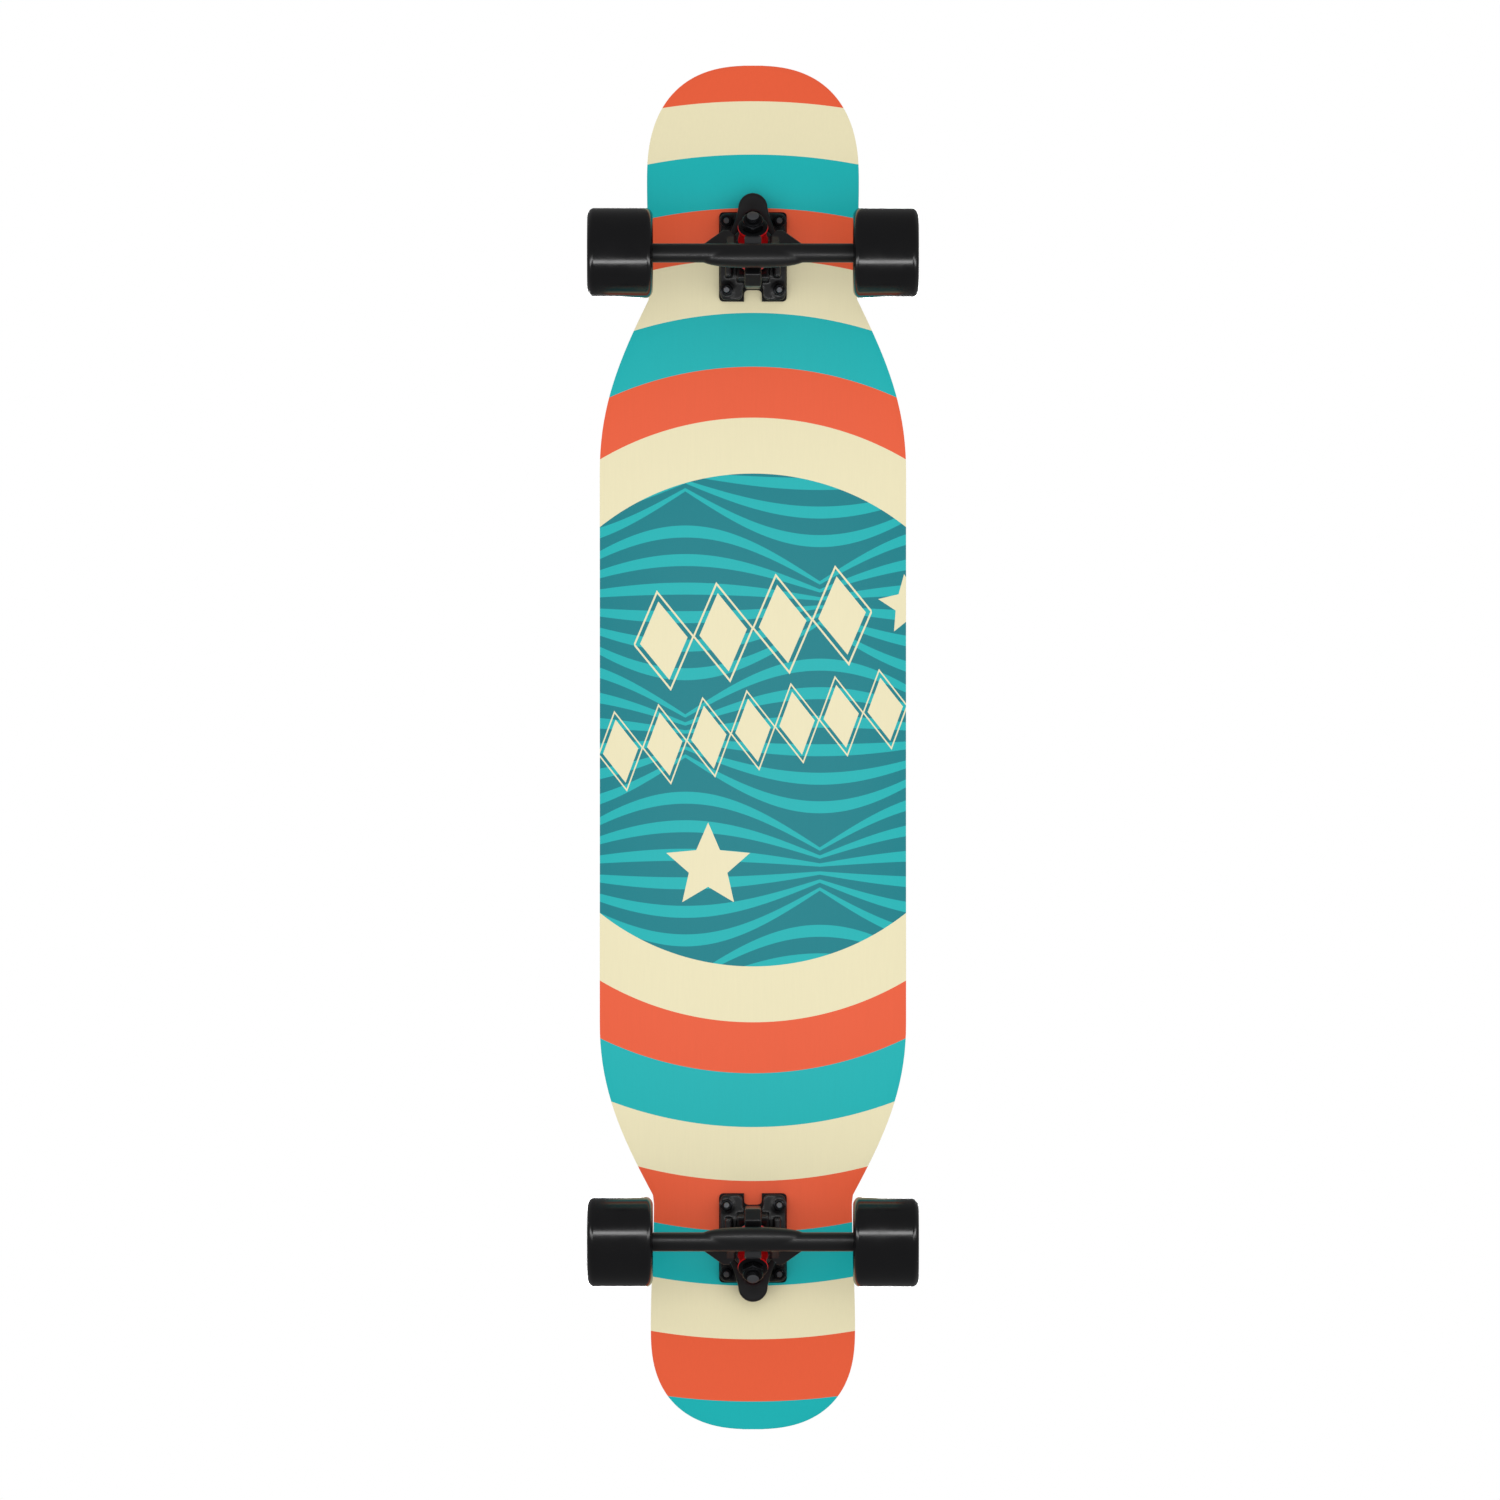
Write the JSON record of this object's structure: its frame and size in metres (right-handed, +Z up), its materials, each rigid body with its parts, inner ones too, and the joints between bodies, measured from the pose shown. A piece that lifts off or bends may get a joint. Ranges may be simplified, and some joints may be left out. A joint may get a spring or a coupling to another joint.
{
  "type": "skateboard",
  "caption": "Dancer longboard with kicked nose and tail, cambered maple deck, sprung reverse-kingpin trucks and wide black urethane wheels.",
  "frame": {"origin": "on the floor, midway between the four wheels", "axes": "+Y towards the nose, +X to the rider's right facing the nose, +Z up; the board stands on its wheels"},
  "size_m": [0.258, 1.07, 0.1476],
  "materials": {
    "maple": "pressed maple veneers, lacquered, screen-printed underneath",
    "grit": "silicon carbide grit on film",
    "black_casting": "die-cast aluminium, satin black powder coat",
    "black_steel": "black oxide on steel",
    "steel": "zinc-plated steel",
    "rubber_pad": "moulded rubber",
    "red_urethane": "cast urethane, satin",
    "black_urethane": "cast urethane, gloss",
    "nylon": "moulded glass-filled nylon",
    "bearing": "ground bearing steel with red rubber seals"
  },
  "bodies": {
    "root": {"deck": "maple", "grip_tape": "grit", "deck_bolt_rear_inner_left": "black_steel", "deck_nut_rear_inner_left": "black_steel", "deck_bolt_rear_inner_right": "black_steel", "deck_nut_rear_inner_right": "black_steel", "deck_bolt_rear_outer_left": "black_steel", "deck_nut_rear_outer_left": "black_steel", "deck_bolt_rear_outer_right": "black_steel", "deck_nut_rear_outer_right": "black_steel", "rear_baseplate": "black_casting", "rear_riser_pad": "rubber_pad", "rear_pivot_cup": "rubber_pad", "rear_kingpin": "black_steel", "rear_kingpin_nut": "black_steel", "rear_bushing_roadside": "red_urethane", "rear_bushing_boardside": "red_urethane", "rear_cup_washer_roadside": "black_steel", "rear_cup_washer_boardside": "black_steel", "deck_bolt_front_inner_left": "black_steel", "deck_nut_front_inner_left": "black_steel", "deck_bolt_front_inner_right": "black_steel", "deck_nut_front_inner_right": "black_steel", "deck_bolt_front_outer_left": "black_steel", "deck_nut_front_outer_left": "black_steel", "deck_bolt_front_outer_right": "black_steel", "deck_nut_front_outer_right": "black_steel", "front_baseplate": "black_casting", "front_riser_pad": "rubber_pad", "front_pivot_cup": "rubber_pad", "front_kingpin": "black_steel", "front_kingpin_nut": "black_steel", "front_bushing_roadside": "red_urethane", "front_bushing_boardside": "red_urethane", "front_cup_washer_roadside": "black_steel", "front_cup_washer_boardside": "black_steel"},
    "rear_hanger_assembly": {"rear_hanger": "black_casting", "rear_axle": "steel", "rear_left_axle_nut": "steel", "rear_right_axle_nut": "steel"},
    "rear_left_wheel": {"rear_left_tyre": "black_urethane", "rear_left_wheel_core": "nylon", "rear_left_bearing_inner": "bearing", "rear_left_bearing_outer": "bearing"},
    "rear_right_wheel": {"rear_right_tyre": "black_urethane", "rear_right_wheel_core": "nylon", "rear_right_bearing_inner": "bearing", "rear_right_bearing_outer": "bearing"},
    "front_hanger_assembly": {"front_hanger": "black_casting", "front_axle": "steel", "front_left_axle_nut": "steel", "front_right_axle_nut": "steel"},
    "front_left_wheel": {"front_left_tyre": "black_urethane", "front_left_wheel_core": "nylon", "front_left_bearing_inner": "bearing", "front_left_bearing_outer": "bearing"},
    "front_right_wheel": {"front_right_tyre": "black_urethane", "front_right_wheel_core": "nylon", "front_right_bearing_inner": "bearing", "front_right_bearing_outer": "bearing"}
  },
  "joints": [
    {"name": "rear_steer", "type": "hinge", "parent": "root", "child": "rear_hanger_assembly", "pos_m": [0, -0.393, 0.072], "axis": [0, -0.7071, 0.7071], "range_deg": [-20, 20], "stiffness_Nm_per_rad": 40, "deforming": ["rear_bushing_roadside", "rear_bushing_boardside"]},
    {"name": "rear_left_roll", "type": "hinge", "parent": "rear_hanger_assembly", "child": "rear_left_wheel", "pos_m": [-0.1035, -0.385, 0.035], "axis": [1, 0, 0], "continuous": true},
    {"name": "rear_right_roll", "type": "hinge", "parent": "rear_hanger_assembly", "child": "rear_right_wheel", "pos_m": [0.1035, -0.385, 0.035], "axis": [1, 0, 0], "continuous": true},
    {"name": "front_steer", "type": "hinge", "parent": "root", "child": "front_hanger_assembly", "pos_m": [0, 0.393, 0.072], "axis": [0, 0.7071, 0.7071], "range_deg": [-20, 20], "stiffness_Nm_per_rad": 40, "deforming": ["front_bushing_roadside", "front_bushing_boardside"]},
    {"name": "front_left_roll", "type": "hinge", "parent": "front_hanger_assembly", "child": "front_left_wheel", "pos_m": [-0.1035, 0.385, 0.035], "axis": [1, 0, 0], "continuous": true},
    {"name": "front_right_roll", "type": "hinge", "parent": "front_hanger_assembly", "child": "front_right_wheel", "pos_m": [0.1035, 0.385, 0.035], "axis": [1, 0, 0], "continuous": true}
  ]
}
